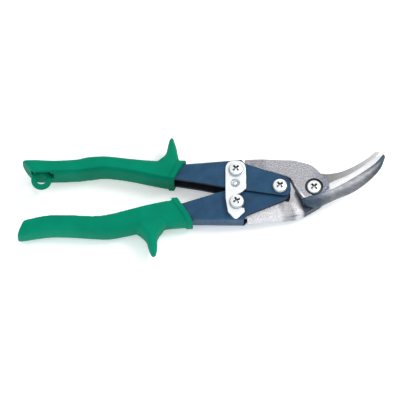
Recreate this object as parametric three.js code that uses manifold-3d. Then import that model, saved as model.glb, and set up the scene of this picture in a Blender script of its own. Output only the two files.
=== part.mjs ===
// Offset right-cut aviation snips with compound-action handles, 235 mm long.
// Two forged blades cross at the main pivot. Two folded-steel handles cross at the handle pivot,
// and each is linked to the tang of one blade, so the four pivots form a kite.
// Local frame while modelling: main pivot on the Z axis, jaws towards +X, pivot axes along Z,
// front (screw heads) towards +Z. z = 0 is the back of the upper handle's sheet. Millimetres.
import * as THREE from "three";
import { mergeVertices } from "three/addons/utils/BufferGeometryUtils.js";
import { ParametricGeometry } from "three/addons/geometries/ParametricGeometry.js";
import Module from "manifold-3d";

const wasm = await Module();
wasm.setup();

// ---- driving dimensions ----
const LINK_LONG = 51.25;            // main pivot to either link bolt
const LINK_SHORT = 30.2;            // handle pivot to either link bolt
const HALF_ANGLE = 12.85;           // degrees, half the angle between the tangs with the jaws shut
const AXIS_TILT = 1;                // degrees, tilt of the linkage's line of symmetry

const SHEET = 2;                    // handle sheet
const CHANNEL = 12.6;               // outside width of each handle's folded channel
const STAGGER = 2.1;                // the lower handle sits this far behind the upper one
const TANG_BACK = 2.4;              // both tangs lie between these two levels
const TANG_FRONT = 8.2;
const SHEAR_FRONT = 5.4;            // the blades slide past each other between these two levels
const SHEAR_BACK = 5.2;
const BLADE = 6.1;                  // blade thickness at the main pivot
const HANDLE_FRONT = CHANNEL;
const LOWER_BACK = -STAGGER;
const LOWER_FRONT = CHANNEL - STAGGER;
const BLADE_FRONT = SHEAR_FRONT + BLADE;
const BLADE_BACK = SHEAR_BACK - BLADE;

const PLAY = 0.2;                   // running clearance between pieces
const LATCH = 1.5;                  // latch plate
const LATCH_BACK = HANDLE_FRONT + 0.3;
const LATCH_FRONT = LATCH_BACK + LATCH;
const HEAD_R = 4.75;                // pan heads of all four bolts
const HEAD = 2.5;
const LINK_BOLT_R = 2.9;
const LATCH_NECK_R = 2.1;           // the lower link bolt is turned down where the latch hooks it
const HANDLE_BOLT_R = 2.6;
const HANDLE_PIVOT_SLACK = 0.6;     // oversize of the lower handle's pivot holes
const MAIN_BOLT_R = 3.9;
const COUNTERBORE_R = 5.9;
const COUNTERBORE = 1.9;
const NUT = 3.1;
const NUT_FLATS = 8;
const MAIN_NUT_FLATS = 11;
const THREAD_R = 2.4;
const LINK_WASHER_R = 5;
const MAIN_WASHER_R = 6.6;
const MAIN_WASHER = 0.8;
const MAIN_NUT = 3.6;
const HEAD_STANDOFF = 0.5;          // the main bolt's head stands this far out of its counterbore

const BUSHING_R = 4;
const WIRE_R = 0.6;
const COIL_R = 4.9;
const COIL_TURNS = 2.5;
const COIL_PITCH = 1.5;
const SPRING_LEG = 13;

const EYE = new THREE.Vector2(-175.3, 6.9);   // hole of the hanging eye
const EYE_R = 3.5;
const EYE_OUTER_R = 6.3;
const EYE_THICKNESS = 2.8;
const EYE_BACK = (CHANNEL - EYE_THICKNESS) / 2;
const EYE_FRONT = EYE_BACK + EYE_THICKNESS;

// ---- the linkage's four pivots ----
const radians = THREE.MathUtils.degToRad;

function polar(length, degrees, from = new THREE.Vector2()) {
  const angle = radians(degrees);
  return new THREE.Vector2(Math.cos(angle), Math.sin(angle)).multiplyScalar(length).add(from);
}

const handleHalfAngle = Math.asin((LINK_LONG / LINK_SHORT) * Math.sin(radians(HALF_ANGLE)));
const pivotSpacing = LINK_LONG * Math.cos(radians(HALF_ANGLE)) - LINK_SHORT * Math.cos(handleHalfAngle);
const MAIN_PIVOT = new THREE.Vector2(0, 0);
const UPPER_LINK = polar(LINK_LONG, 180 + AXIS_TILT - HALF_ANGLE);
const LOWER_LINK = polar(LINK_LONG, 180 + AXIS_TILT + HALF_ANGLE);
const HANDLE_PIVOT = polar(pivotSpacing, 180 + AXIS_TILT);

// ---- shape helpers ----

// Corners [x, y, fillet radius] joined by straight edges, each corner rounded to its radius.
function filleted(corners) {
  const shape = new THREE.Shape();
  corners.forEach(([x, y, radius = 0], i) => {
    const corner = new THREE.Vector2(x, y);
    const before = new THREE.Vector2(...corners.at(i - 1)).sub(corner);
    const after = new THREE.Vector2(...corners[(i + 1) % corners.length]).sub(corner);
    const mostReach = 0.49 * Math.min(before.length(), after.length());
    const reach = Math.min(radius / Math.tan(before.angleTo(after) / 2), mostReach);
    const start = before.normalize().multiplyScalar(reach).add(corner);
    const end = after.normalize().multiplyScalar(reach).add(corner);
    if (i === 0) shape.moveTo(start.x, start.y);
    else shape.lineTo(start.x, start.y);
    if (radius) shape.quadraticCurveTo(x, y, end.x, end.y);
  });
  shape.closePath();
  return shape;
}

function solid(geometry) {
  geometry.deleteAttribute("normal");
  geometry.deleteAttribute("uv");
  const merged = mergeVertices(geometry, 1e-4);
  const corners = [...merged.index.array];
  const build = (flip) => {
    const triangles = [];
    for (let i = 0; i < corners.length; i += 3) {
      const [a, b, c] = corners.slice(i, i + 3);
      if (a !== b && b !== c && c !== a) triangles.push(a, flip ? c : b, flip ? b : c);
    }
    return new wasm.Manifold(new wasm.Mesh({
      numProp: 3,
      vertProperties: new Float32Array(merged.attributes.position.array),
      triVerts: new Uint32Array(triangles),
    }));
  };
  const asDrawn = build(false);
  return asDrawn.volume() > 0 ? asDrawn : build(true);
}

function plate(shape, back, front, curveSegments = 6) {
  const geometry = new THREE.ExtrudeGeometry(shape, {
    depth: front - back, bevelEnabled: false, curveSegments,
  });
  return solid(geometry.translate(0, 0, back));
}

function disc(centre, radius, back, front, sides = 24) {
  const geometry = new THREE.CylinderGeometry(radius, radius, front - back, sides);
  geometry.rotateX(Math.PI / 2).translate(centre.x, centre.y, (back + front) / 2);
  return solid(geometry);
}

function box(low, high) {
  const size = high.map((v, i) => v - low[i]);
  const geometry = new THREE.BoxGeometry(...size);
  return solid(geometry.translate(...high.map((v, i) => (v + low[i]) / 2)));
}

// A closed skin over sections; ring(v, angle) is a point on the section at v, from 0 to 1.
// The first and last rows of the skin are single points, which close its two ends.
function loft(ring, sides, steps) {
  const fullTurn = 2 * Math.PI;
  const middles = [0, 1].map((v) => {
    const middle = new THREE.Vector3();
    for (let i = 0; i < sides; i += 1) {
      middle.addScaledVector(ring(v, (i / sides) * fullTurn), 1 / sides);
    }
    return middle;
  });
  const lastRow = steps + 2;
  const skin = (u, v, target) => {
    const row = Math.round(v * lastRow);
    if (row === 0) return target.copy(middles[0]);
    if (row === lastRow) return target.copy(middles[1]);
    return target.copy(ring((row - 1) / steps, (u % 1) * fullTurn));
  };
  return solid(new ParametricGeometry(skin, sides, lastRow));
}

const curveThrough = (points) => new THREE.CatmullRomCurve3(
  points.map((p) => new THREE.Vector3(...p)), false, "catmullrom", 0.5);

// ---- bolts, nuts and washers ----

function phillips(centre, top) {
  const depth = 1.5;
  const wing = [2.4, 0.45];
  const slots = [wing, [...wing].reverse()].map(([x, y]) => box(
    [centre.x - x, centre.y - y, top - depth], [centre.x + x, centre.y + y, top + 1]));
  return slots[0].add(slots[1]);
}

// Steps are [radius, back, front], from the threaded end to the head.
function bolt(centre, steps) {
  const head = steps.at(-1);
  return steps.map((step) => disc(centre, ...step)).reduce((a, b) => a.add(b))
    .subtract(phillips(centre, head[2]));
}

function nut(centre, flats, bore, back, front) {
  const corner = flats / Math.sqrt(3);
  return disc(centre, corner, back, front, 6).subtract(disc(centre, bore, back - 1, front + 1));
}

function washer(centre, bore, outer, back, front) {
  return disc(centre, outer, back, front).subtract(disc(centre, bore, back - 1, front + 1));
}

// ---- handles ----

// Each handle is a folded channel. Its web, the outer edge, runs under the grip to webEnd; its two
// ears run on round the handle pivot, and its rim is the open edge of the channel under the grip.
const upperHandle = {
  back: 0,
  link: UPPER_LINK,
  web: [[-163, 16.3], [-154, 17.2], [-144, 18.9], [-133, 19.4], [-120, 18], [-105, 16.7], [-82, 16.3]],
  webEnd: [-46.9, 19.4],
  ear: [[-44.6, 15.9, 1], [-15.5, 5.6, 7.5], [-14.6, -7.6, 7.5], [-57.5, -0.9, 10], [-73.2, 2.4, 10]],
  rim: [[-90, 5.2], [-105, 8], [-120, 10.9], [-133, 13], [-144, 11.7], [-154, 10.9], [-163, 10.5]],
};
const lowerHandle = {
  back: LOWER_BACK,
  link: LOWER_LINK,
  web: [[-172, -28.9], [-154, -28.8], [-141, -29.7], [-131, -30], [-120, -28.2], [-108, -25.7], [-82, -22]],
  webEnd: [-45.2, -22.4],
  ear: [[-43.4, -19.7, 1], [-17, -8.2, 7], [-13.8, 5.4, 7.5], [-44, 1.4, 10], [-62, -3.9, 10]],
  rim: [[-84, -11.2], [-96, -13.4], [-108, -16], [-120, -19.2], [-131, -22.2], [-141, -23.6], [-172, -22.8]],
};

// The two long edges of a handle where the grip covers it, moved outwards by `grow`.
function coveredEdges(handle, grow = 0) {
  const outward = Math.sign(handle.webEnd[1]);
  const web = handle.web.map(([x, y]) => new THREE.Vector2(x, y + outward * grow));
  const rim = handle.rim.map(([x, y]) => new THREE.Vector2(x, y - outward * grow));
  web[0].x -= grow;
  rim.at(-1).x -= grow;
  return [web, rim].map((points) => new THREE.SplineCurve(points).getPoints(2 * points.length));
}

function handleSolid(handle, pivotHole) {
  const outward = Math.sign(handle.webEnd[1]);
  const front = handle.back + CHANNEL;
  const [web, rim] = coveredEdges(handle);
  const outline = filleted([...web, handle.webEnd, ...handle.ear, ...rim]);
  const [endX, endY] = handle.webEnd;
  const [tailX, tailY] = web[0];
  const beyond = 60;
  const hollow = filleted([
    [tailX - 1, tailY - outward * SHEET], ...web.map(([x, y]) => [x, y - outward * SHEET]),
    [endX, endY - outward * SHEET], [endX, endY + outward * beyond], [0, endY + outward * beyond],
    [0, -outward * beyond], [tailX - 1, -outward * beyond],
  ]);
  return plate(outline, handle.back, front)
    .subtract(plate(hollow, handle.back + SHEET, front - SHEET))
    .subtract(disc(handle.link, LINK_BOLT_R + PLAY, handle.back - 1, front + 1))
    .subtract(disc(HANDLE_PIVOT, pivotHole, handle.back - 1, front + 1));
}

// ---- grips ----

// Sections run from the crease on the inner side to the crown on the palm side. The horn is a
// finger stop; its rows are [x, y, half length along the grip, half width across it].
const upperGrip = {
  middle: CHANNEL / 2,
  inner: [[-180.6, 9.8], [-179.8, 9.2], [-175, 9.4], [-166, 9.9], [-152, 10.6], [-144, 12.3],
    [-133.6, 13.8], [-119.7, 11.5], [-105, 7.9], [-94.5, 5.3], [-92.2, 4.6], [-92, 4.2], [-88.6, 3.8],
    [-88.4, 4.4]],
  crown: [[-185.6, 16], [-186.2, 17.6], [-181, 18.9], [-167, 18.6], [-153, 19.4], [-145, 21.2],
    [-133.6, 21.7], [-120, 20.2], [-104, 18.8], [-90, 18.5], [-86.2, 18.3], [-86, 19], [-82.6, 18.7],
    [-82.4, 18]],
  halfWidth: [6.5, 8.6, 9.3, 9.6, 9.6, 9.6, 9.6, 9.6, 9.6, 9.6, 9.6, 10.3, 10.3, 9.6],
  horn: [[-93, 14, 6.5, 9], [-91.9, 22, 4.4, 8.4], [-91.3, 28, 3.2, 7.2], [-91.2, 33.5, 2.2, 5.4],
    [-91.3, 36.3, 0.8, 2.6]],
};
const lowerGrip = {
  middle: LOWER_BACK + CHANNEL / 2,
  inner: [[-186.4, -26.2], [-185.6, -24.4], [-177, -22.7], [-167.6, -21.5], [-154.4, -21.6],
    [-141, -22.2], [-131.2, -20.9], [-119.7, -17.8], [-108.4, -14.6], [-97, -12], [-91.4, -10.6],
    [-91.2, -10], [-87.9, -9.6], [-87.7, -10.2]],
  crown: [[-188.9, -32.4], [-189.3, -34.4], [-179, -33], [-168, -30.9], [-154.4, -30.9],
    [-141, -31.9], [-131.2, -32.2], [-120.5, -30.3], [-109, -27.6], [-93, -25.2], [-82, -24.3],
    [-81.8, -25], [-78.4, -24.8], [-78.2, -24.1]],
  halfWidth: [6.5, 8.8, 9.6, 9.6, 9.6, 9.6, 9.6, 9.6, 9.6, 9.6, 9.6, 10.3, 10.3, 9.6],
  horn: [[-106.2, -25, 8.2, 9], [-104.7, -33, 5, 8.4], [-104.1, -38, 3.5, 7.2],
    [-103.3, -43, 2.2, 5.2], [-103, -45.8, 0.8, 2.6]],
};

function gripSolid(grip, handle) {
  const BULGE = 1.6;                // swell of the flat inner side
  const SQUARENESS = 2 / 3;         // exponent of the section's rounded box
  const FLATNESS = 1.08;            // the sides are flat where the rounded box would pass their width
  const lift = (points) => curveThrough(points.map(([x, y]) => [x, y, 0]));
  const inner = lift(grip.inner);
  const crown = lift(grip.crown);
  const width = lift(grip.halfWidth.map((w, i) => [i, w]));
  const body = loft((v, angle) => {
    const low = inner.getPoint(v);
    const across = crown.getPoint(v).sub(low);
    const w = width.getPoint(v).y;
    const rise = Math.sin(angle);
    const height = rise > 0 ? rise ** SQUARENESS : (rise * BULGE) / across.length();
    const side = Math.cos(angle);
    const point = low.addScaledVector(across, height);
    point.z = grip.middle + w * Math.sign(side) * Math.min(1, FLATNESS * Math.abs(side) ** SQUARENESS);
    return point;
  }, 20, 2 * (grip.inner.length - 1));
  const spine = curveThrough(grip.horn.map(([x, y]) => [x, y, 0]));
  const girth = curveThrough(grip.horn.map(([, , a, b]) => [a, b, 0]));
  const horn = loft((v, angle) => {
    const point = spine.getPoint(v);
    const size = girth.getPoint(v);
    point.x += size.x * Math.cos(angle);
    point.z = grip.middle + size.y * Math.sin(angle);
    return point;
  }, 12, 8);
  const cling = 0.3;                // gap left between the steel and the vinyl
  const beyond = 40;                // the cavity runs out past the collar
  const [web, rim] = coveredEdges(handle, cling);
  const cavity = filleted([
    ...web, [web.at(-1).x + beyond, web.at(-1).y], [rim[0].x + beyond, rim[0].y], ...rim,
  ]);
  return body.add(horn)
    .subtract(plate(cavity, handle.back - cling, handle.back + CHANNEL + cling));
}

// The hanging eye stands in a pocket in the inner side of the upper grip.
function withHangingEye(grip) {
  const LIP = 9.4;                  // the grip is cut flat here beside the eye
  const WALL = 2.2;
  const clearance = box([-179, -8, -WALL - 4], [-167, LIP, CHANNEL + WALL + 4]);
  const pocket = box([-182, -8, 0], [-164.5, 14, CHANNEL]);
  const tab = plate(filleted([
    [EYE.x - 5.4, 15.5], [EYE.x - 4, EYE.y + 3], [EYE.x + 4, EYE.y + 3], [EYE.x + 5.4, 15.5],
  ]), EYE_BACK, EYE_FRONT);
  return grip.subtract(clearance).subtract(pocket).add(tab)
    .add(disc(EYE, EYE_OUTER_R, EYE_BACK, EYE_FRONT))
    .subtract(disc(EYE, EYE_R, EYE_BACK - 1, EYE_FRONT + 1));
}

// ---- blades ----

// A jaw is lofted between three curves: its cutting edge, its ridge and its outer edge.
function jaw(edge, ridge, outer) {
  const curves = [edge, ridge, outer].map(curveThrough);
  const perSide = 2;
  return loft((v, angle) => {
    const place = Math.round((angle / (2 * Math.PI)) * 3 * perSide);
    const side = Math.floor(place / perSide) % 3;
    const next = curves[(side + 1) % 3].getPoint(v);
    return curves[side].getPoint(v).lerp(next, (place % perSide) / perSide);
  }, 3 * perSide, 24);
}

function frontBlade() {
  const body = plate(filleted([
    [-31.5, 11.8, 1], [-31.5, 19.4, 1], [-13, 18.9, 12], [-1, 15.6, 12], [7.2, 6.4, 2], [10.2, 3.4, 3],
    [6.4, -4, 3], [0.3, -5, 8], [-6.2, -8.2, 1], [-12.4, 0.2, 4], [-15.2, 6.2, 4],
  ]), SHEAR_FRONT, BLADE_FRONT);
  const tang = plate(filleted([
    [-56.5, 4.2, 6.1], [-56.5, 16.6, 6.1], [-44.5, 16.5, 0.4], [-44.4, 20.8, 1], [-17, 19.2, 1],
    [-15.4, 8.8, 2], [-27, 6.6, 20], [-40, 4.7, 20],
  ]), TANG_BACK, TANG_FRONT);
  const blade = jaw(
    [[-7, 0, SHEAR_FRONT], [4, 2.5, SHEAR_FRONT], [13.2, 6.9, SHEAR_FRONT], [22, 11, SHEAR_FRONT],
      [31, 16.8, SHEAR_FRONT], [39, 22.8, SHEAR_FRONT], [44.2, 25.8, SHEAR_FRONT]],
    [[-6.3, -7.6, 11.3], [1.5, -5, 11.2], [11, -1.6, 10.5], [21, 4.2, 9.9], [31, 11.1, 9.2],
      [39.4, 17.6, 8.2], [44.6, 24.2, 6]],
    [[-4.5, -12.2, SHEAR_FRONT], [3, -11.9, SHEAR_FRONT], [14.1, -6.6, SHEAR_FRONT],
      [25.3, -1.4, SHEAR_FRONT], [35.2, 6.5, SHEAR_FRONT], [42.4, 15.4, SHEAR_FRONT],
      [45.2, 24.4, SHEAR_FRONT]]);
  return body.add(tang).add(blade)
    .subtract(disc(UPPER_LINK, LINK_BOLT_R + PLAY, TANG_BACK - 1, TANG_FRONT + 1))
    .subtract(disc(MAIN_PIVOT, MAIN_BOLT_R + PLAY, BLADE_BACK, BLADE_FRONT + 1))
    .subtract(disc(MAIN_PIVOT, COUNTERBORE_R, BLADE_FRONT - COUNTERBORE, BLADE_FRONT + 1));
}

function rearBlade() {
  const body = plate(filleted([
    [-21.5, -11.9, 1], [-21.5, -19.6, 1], [-11.5, -18.3, 8], [-5, -15.4, 8], [4, -9.8, 8], [9.5, -3, 5],
    [11, 6, 3], [8, 12, 3], [1, 12.4, 6], [-7, 7.8, 6], [-12.4, -1, 4], [-13.4, -8, 4],
  ]), BLADE_BACK, SHEAR_BACK);
  const tang = plate(filleted([
    [-56.2, -6, 6.2], [-56.2, -18.7, 6.2], [-43.2, -18.7, 0.4], [-43, -22.4, 1], [-20.5, -19.8, 30],
    [-9.4, -17.9, 1], [-9.4, -13.5, 1], [-12, -9.8, 2], [-27, -7.6, 20], [-40, -6.4, 20],
  ]), TANG_BACK, TANG_FRONT);
  const blade = jaw(
    [[-3, -2, SHEAR_BACK], [8, 3, SHEAR_BACK], [18, 6.8, SHEAR_BACK], [27, 12, SHEAR_BACK],
      [35, 18.6, SHEAR_BACK], [40.4, 24.2, SHEAR_BACK], [43, 27, SHEAR_BACK]],
    [[1, 12, SHEAR_BACK], [9, 12, SHEAR_BACK], [18, 13.7, SHEAR_BACK], [27, 18, SHEAR_BACK],
      [35, 23.3, SHEAR_BACK], [40, 27.6, SHEAR_BACK], [42.6, 28.2, SHEAR_BACK]],
    [[-3, 6, 0.2], [8, 8, 0.4], [18, 10.6, 0.8], [27, 15.2, 1.2], [35, 21, 2], [40.2, 25.8, 3.4],
      [42.8, 27.6, 4.8]]);
  return body.add(tang).add(blade)
    .subtract(disc(LOWER_LINK, LINK_BOLT_R + PLAY, TANG_BACK - 1, TANG_FRONT + 1))
    .subtract(disc(MAIN_PIVOT, MAIN_BOLT_R + PLAY, BLADE_BACK - 1, SHEAR_BACK + 1));
}

// ---- latch ----

// Hangs on the upper link bolt and hooks under the neck of the lower one.
function latchSolid() {
  const neck = LOWER_LINK;
  const outline = filleted([
    [-56.9, 17.1, 6.3], [-43.8, 17.1, 6.3], [-43.6, -2.4, 2.5], [-46.8, -5.4, 1], [-52.4, -8.2, 1.6],
    [neck.x - 3.2, neck.y - 2, 2], [neck.x - 1.6, neck.y - 3.1, 0.4], [-45, -16.4, 0.6], [-44.6, -18.8, 0.8],
    [-50.4, -24.4, 2.5], [-55.4, -19, 3], [-56.9, -9, 4],
  ]);
  const DIMPLE = new THREE.Vector2(-51, 1.4);
  return plate(outline, LATCH_BACK, LATCH_FRONT)
    .subtract(disc(UPPER_LINK, LINK_BOLT_R + PLAY, LATCH_BACK - 1, LATCH_FRONT + 1))
    .add(disc(DIMPLE, 1.8, LATCH_BACK + 0.4, LATCH_FRONT + 0.5, 20));
}

// ---- opening spring ----

// A torsion spring round the handle pivot; each leg bears on the inner edge of one tang.
function springSolid() {
  const coilTop = (TANG_BACK + TANG_FRONT + COIL_TURNS * COIL_PITCH) / 2;
  const coilBottom = coilTop - COIL_TURNS * COIL_PITCH;
  const points = [];
  const legPoints = 4;
  const legX = (i) => HANDLE_PIVOT.x - (SPRING_LEG * i) / legPoints;
  for (let i = legPoints; i > 0; i -= 1) {
    points.push([legX(i), HANDLE_PIVOT.y + COIL_R, coilTop]);
  }
  const perTurn = 16;
  const steps = COIL_TURNS * perTurn;
  for (let i = 0; i <= steps; i += 1) {
    const turn = i / perTurn;
    const at = polar(COIL_R, 90 - 360 * turn, HANDLE_PIVOT);
    points.push([at.x, at.y, coilTop - COIL_PITCH * turn]);
  }
  for (let i = 1; i <= legPoints; i += 1) {
    points.push([legX(i), HANDLE_PIVOT.y - COIL_R, coilBottom]);
  }
  const wire = new THREE.Shape();
  wire.absarc(0, 0, WIRE_R, 0, 2 * Math.PI);
  return solid(new THREE.ExtrudeGeometry(wire, {
    extrudePath: curveThrough(points), steps: points.length, curveSegments: 4, bevelEnabled: false,
  }));
}

// ---- the assembly ----

const paint = { color: 0x2d5178, roughness: 0.45, metalness: 0.2 };
const vinyl = { color: 0x00855f, roughness: 0.5, metalness: 0 };
const forged = { color: 0x9a989c, roughness: 0.5, metalness: 0.9 };
const zinc = { color: 0xd9dadb, roughness: 0.3, metalness: 0.9 };
const springSteel = { color: 0x6d6e70, roughness: 0.4, metalness: 0.9 };

const group = new THREE.Group();

function place(name, manifold, look) {
  const { vertProperties, triVerts } = manifold.getMesh();
  const geometry = new THREE.BufferGeometry();
  geometry.setAttribute("position", new THREE.BufferAttribute(vertProperties, 3));
  geometry.setIndex(new THREE.BufferAttribute(triVerts, 1));
  geometry.computeVertexNormals();
  const mesh = new THREE.Mesh(geometry, new THREE.MeshStandardMaterial(look));
  mesh.name = name;
  group.add(mesh);
}

place("front_blade", frontBlade(), forged);
place("rear_blade", rearBlade(), forged);
place("upper_handle", handleSolid(upperHandle, HANDLE_BOLT_R + PLAY), paint);
place("lower_handle", handleSolid(lowerHandle, HANDLE_BOLT_R + HANDLE_PIVOT_SLACK), paint);
place("upper_grip", withHangingEye(gripSolid(upperGrip, upperHandle)), vinyl);
place("lower_grip", gripSolid(lowerGrip, lowerHandle), vinyl);
place("latch", latchSolid(), zinc);
place("opening_spring", springSolid(), springSteel);

const headBack = LATCH_FRONT + 0.3;
const washerBack = BLADE_BACK - PLAY - MAIN_WASHER;
const nutBack = washerBack - PLAY - MAIN_NUT;
place("upper_link_bolt", bolt(UPPER_LINK, [
  [THREAD_R, -NUT, TANG_BACK],
  [LINK_BOLT_R, 0, headBack],
  [HEAD_R, headBack, headBack + HEAD],
]), zinc);
place("lower_link_bolt", bolt(LOWER_LINK, [
  [THREAD_R, LOWER_BACK - NUT, TANG_BACK],
  [LINK_BOLT_R, LOWER_BACK, LOWER_FRONT + PLAY],
  [LATCH_NECK_R, LOWER_FRONT, headBack],
  [HEAD_R, headBack, headBack + HEAD],
]), zinc);
place("handle_pivot_bolt", bolt(HANDLE_PIVOT, [
  [THREAD_R, LOWER_BACK - NUT, TANG_BACK],
  [HANDLE_BOLT_R, LOWER_BACK, HANDLE_FRONT + PLAY],
  [HEAD_R, HANDLE_FRONT + PLAY, HANDLE_FRONT + PLAY + HEAD],
]), zinc);
place("main_pivot_bolt", bolt(MAIN_PIVOT, [
  [MAIN_BOLT_R, nutBack, BLADE_FRONT - 1],
  [HEAD_R, BLADE_FRONT - COUNTERBORE + PLAY, BLADE_FRONT + HEAD_STANDOFF],
]), zinc);

const linkNut = (centre, back) => nut(centre, NUT_FLATS, THREAD_R + PLAY, back - PLAY - NUT, back - PLAY);
place("upper_link_nut", linkNut(UPPER_LINK, 0), zinc);
place("lower_link_nut", linkNut(LOWER_LINK, LOWER_BACK), zinc);
place("handle_pivot_nut", linkNut(HANDLE_PIVOT, LOWER_BACK), zinc);

const mainBore = MAIN_BOLT_R + PLAY;
place("main_pivot_nut",
  nut(MAIN_PIVOT, MAIN_NUT_FLATS, mainBore, nutBack, washerBack - PLAY), zinc);
place("main_pivot_washer",
  washer(MAIN_PIVOT, mainBore, MAIN_WASHER_R, washerBack, BLADE_BACK - PLAY), zinc);

const linkBore = LINK_BOLT_R + PLAY;
place("upper_link_washer",
  washer(UPPER_LINK, linkBore, LINK_WASHER_R, TANG_FRONT + PLAY, HANDLE_FRONT - SHEET - PLAY), zinc);
place("lower_link_washer",
  washer(LOWER_LINK, linkBore, LINK_WASHER_R, LOWER_BACK + SHEET + PLAY, TANG_BACK - PLAY), zinc);
place("handle_pivot_bushing",
  washer(HANDLE_PIVOT, HANDLE_BOLT_R + PLAY, BUSHING_R, SHEET + PLAY, LOWER_FRONT - SHEET - PLAY),
  springSteel);

// Row frame: origin at the middle of the footprint, on the surface that the snips lie on.
const bounds = new THREE.Box3().setFromObject(group);
const middle = bounds.getCenter(new THREE.Vector3());
group.position.set(-middle.x, -middle.y, -bounds.min.z);

export default group;
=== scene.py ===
"""Offset right-cut aviation snips: the visible pieces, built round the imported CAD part.

Shapes are modelled in millimetres in the frame of the linkage: the main pivot is the origin, the jaws
point along +X, the screw heads face +Z, and z = 0 is the back of the upper handle's sheet.
Each finished mesh is then moved into the row frame, in metres.
"""
import math

import bmesh
import bpy
from mathutils import Matrix, Vector
from mathutils.bvhtree import BVHTree


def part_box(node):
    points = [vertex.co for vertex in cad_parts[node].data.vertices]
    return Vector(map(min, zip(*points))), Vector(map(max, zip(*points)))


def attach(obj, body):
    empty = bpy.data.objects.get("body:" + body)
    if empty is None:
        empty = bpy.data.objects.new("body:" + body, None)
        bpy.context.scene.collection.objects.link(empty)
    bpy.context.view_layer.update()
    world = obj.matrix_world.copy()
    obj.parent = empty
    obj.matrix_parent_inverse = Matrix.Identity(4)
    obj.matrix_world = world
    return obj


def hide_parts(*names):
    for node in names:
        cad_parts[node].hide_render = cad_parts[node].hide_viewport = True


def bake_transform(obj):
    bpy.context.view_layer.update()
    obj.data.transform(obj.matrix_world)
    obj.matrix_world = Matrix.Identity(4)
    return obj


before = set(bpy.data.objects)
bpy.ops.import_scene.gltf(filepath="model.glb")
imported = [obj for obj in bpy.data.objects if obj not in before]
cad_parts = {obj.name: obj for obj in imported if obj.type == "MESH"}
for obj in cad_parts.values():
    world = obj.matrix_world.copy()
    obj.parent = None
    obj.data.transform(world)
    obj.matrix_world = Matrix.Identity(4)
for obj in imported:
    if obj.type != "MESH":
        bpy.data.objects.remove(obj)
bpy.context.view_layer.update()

MM = 0.001
FRONT_BLADE, REAR_BLADE = "front_blade_body", "rear_blade_body"
UPPER_HANDLE, LOWER_HANDLE = "upper_handle_body", "lower_handle_body"
LATCH_BODY = "latch_body"


def middle_of(node):
    low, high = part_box(node)
    return (low + high) / 2


main_axis = middle_of("main_pivot_bolt")
ORIGIN = Vector((main_axis.x, main_axis.y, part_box("upper_handle")[0].z))
TO_ROW = Matrix.Translation(ORIGIN) @ Matrix.Diagonal((MM, MM, MM, 1))


def axis_of(node):
    """The pivot axis of a bolt, as x and y in the linkage's frame."""
    offset = (middle_of(node) - ORIGIN) / MM
    return Vector((offset.x, offset.y))


def levels_of(node):
    """The lowest and highest level of a node in the linkage's frame."""
    return [(corner.z - ORIGIN.z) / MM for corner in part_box(node)]


MAIN_PIVOT = axis_of("main_pivot_bolt")
UPPER_LINK = axis_of("upper_link_bolt")
LOWER_LINK = axis_of("lower_link_bolt")
HANDLE_PIVOT = axis_of("handle_pivot_bolt")

# Levels of the stack of sheets and forgings, from the nuts to the screw heads.
SHEET = 2.0
CHANNEL = 12.6
LOWER_BACK = -2.1
TANG_BACK, TANG_FRONT = 2.4, 8.2
SHEAR_BACK, SHEAR_FRONT = 5.2, 5.4
BLADE_BACK, BLADE_FRONT = -0.9, 11.5
LATCH_BACK, LATCH_FRONT = 12.9, 14.4

LINK_BORE = 3.1
MAIN_BORE = 4.1


# ---- curves and outlines ----

def spline(points, t):
    """Catmull-Rom curve through points of any dimension, with t from 0 to 1."""
    last = len(points) - 1
    place = min(max(t, 0.0), 1.0) * last
    i = min(int(place), last - 1)
    f = place - i
    p1, p2 = Vector(points[i]), Vector(points[i + 1])
    p0 = Vector(points[i - 1]) if i > 0 else 2 * p1 - p2
    p3 = Vector(points[i + 2]) if i + 2 <= last else 2 * p2 - p1
    return 0.5 * (2 * p1 + (p2 - p0) * f + (2 * p0 - 5 * p1 + 4 * p2 - p3) * f ** 2
                  + (3 * p1 - p0 - 3 * p2 + p3) * f ** 3)


def smooth_line(points, count):
    return [tuple(spline(points, i / (count - 1))) for i in range(count)]


def rounded(corners, steps=7):
    """A closed outline through corners (x, y, radius), each one rounded to its radius."""
    outline = []
    for i, (x, y, *radius) in enumerate(corners):
        corner = Vector((x, y))
        before = Vector(corners[i - 1][:2]) - corner
        after = Vector(corners[(i + 1) % len(corners)][:2]) - corner
        if not radius or radius[0] == 0:
            outline.append((x, y))
            continue
        half_angle = before.angle(after) / 2
        most = 0.49 * min(before.length, after.length)
        reach = min(radius[0] / math.tan(half_angle), most)
        start = corner + before.normalized() * reach
        end = corner + after.normalized() * reach
        for k in range(steps + 1):
            t = k / steps
            outline.append(tuple((1 - t) ** 2 * start + 2 * t * (1 - t) * corner + t ** 2 * end))
    return outline


def circle(centre, radius, count=48):
    return [(centre[0] + radius * math.cos(2 * math.pi * k / count),
             centre[1] + radius * math.sin(2 * math.pi * k / count)) for k in range(count)]


# ---- meshes, in millimetres ----

def new_object(name, mesh):
    piece = bpy.data.objects.new(name, mesh)
    bpy.context.scene.collection.objects.link(piece)
    return piece


def from_bmesh(name, shape):
    bmesh.ops.recalc_face_normals(shape, faces=shape.faces)
    mesh = bpy.data.meshes.new(name)
    shape.to_mesh(mesh)
    shape.free()
    return new_object(name, mesh)


def bake(piece):
    """Applies the modifiers of a piece to its mesh."""
    graph = bpy.context.evaluated_depsgraph_get()
    mesh = bpy.data.meshes.new_from_object(piece.evaluated_get(graph))
    piece.modifiers.clear()
    piece.data = mesh
    return piece


def weld(piece, distance=0.002):
    shape = bmesh.new()
    shape.from_mesh(piece.data)
    bmesh.ops.remove_doubles(shape, verts=shape.verts, dist=distance)
    bmesh.ops.dissolve_degenerate(shape, edges=shape.edges, dist=distance)
    bmesh.ops.recalc_face_normals(shape, faces=shape.faces)
    shape.to_mesh(piece.data)
    shape.free()
    return piece


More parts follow.
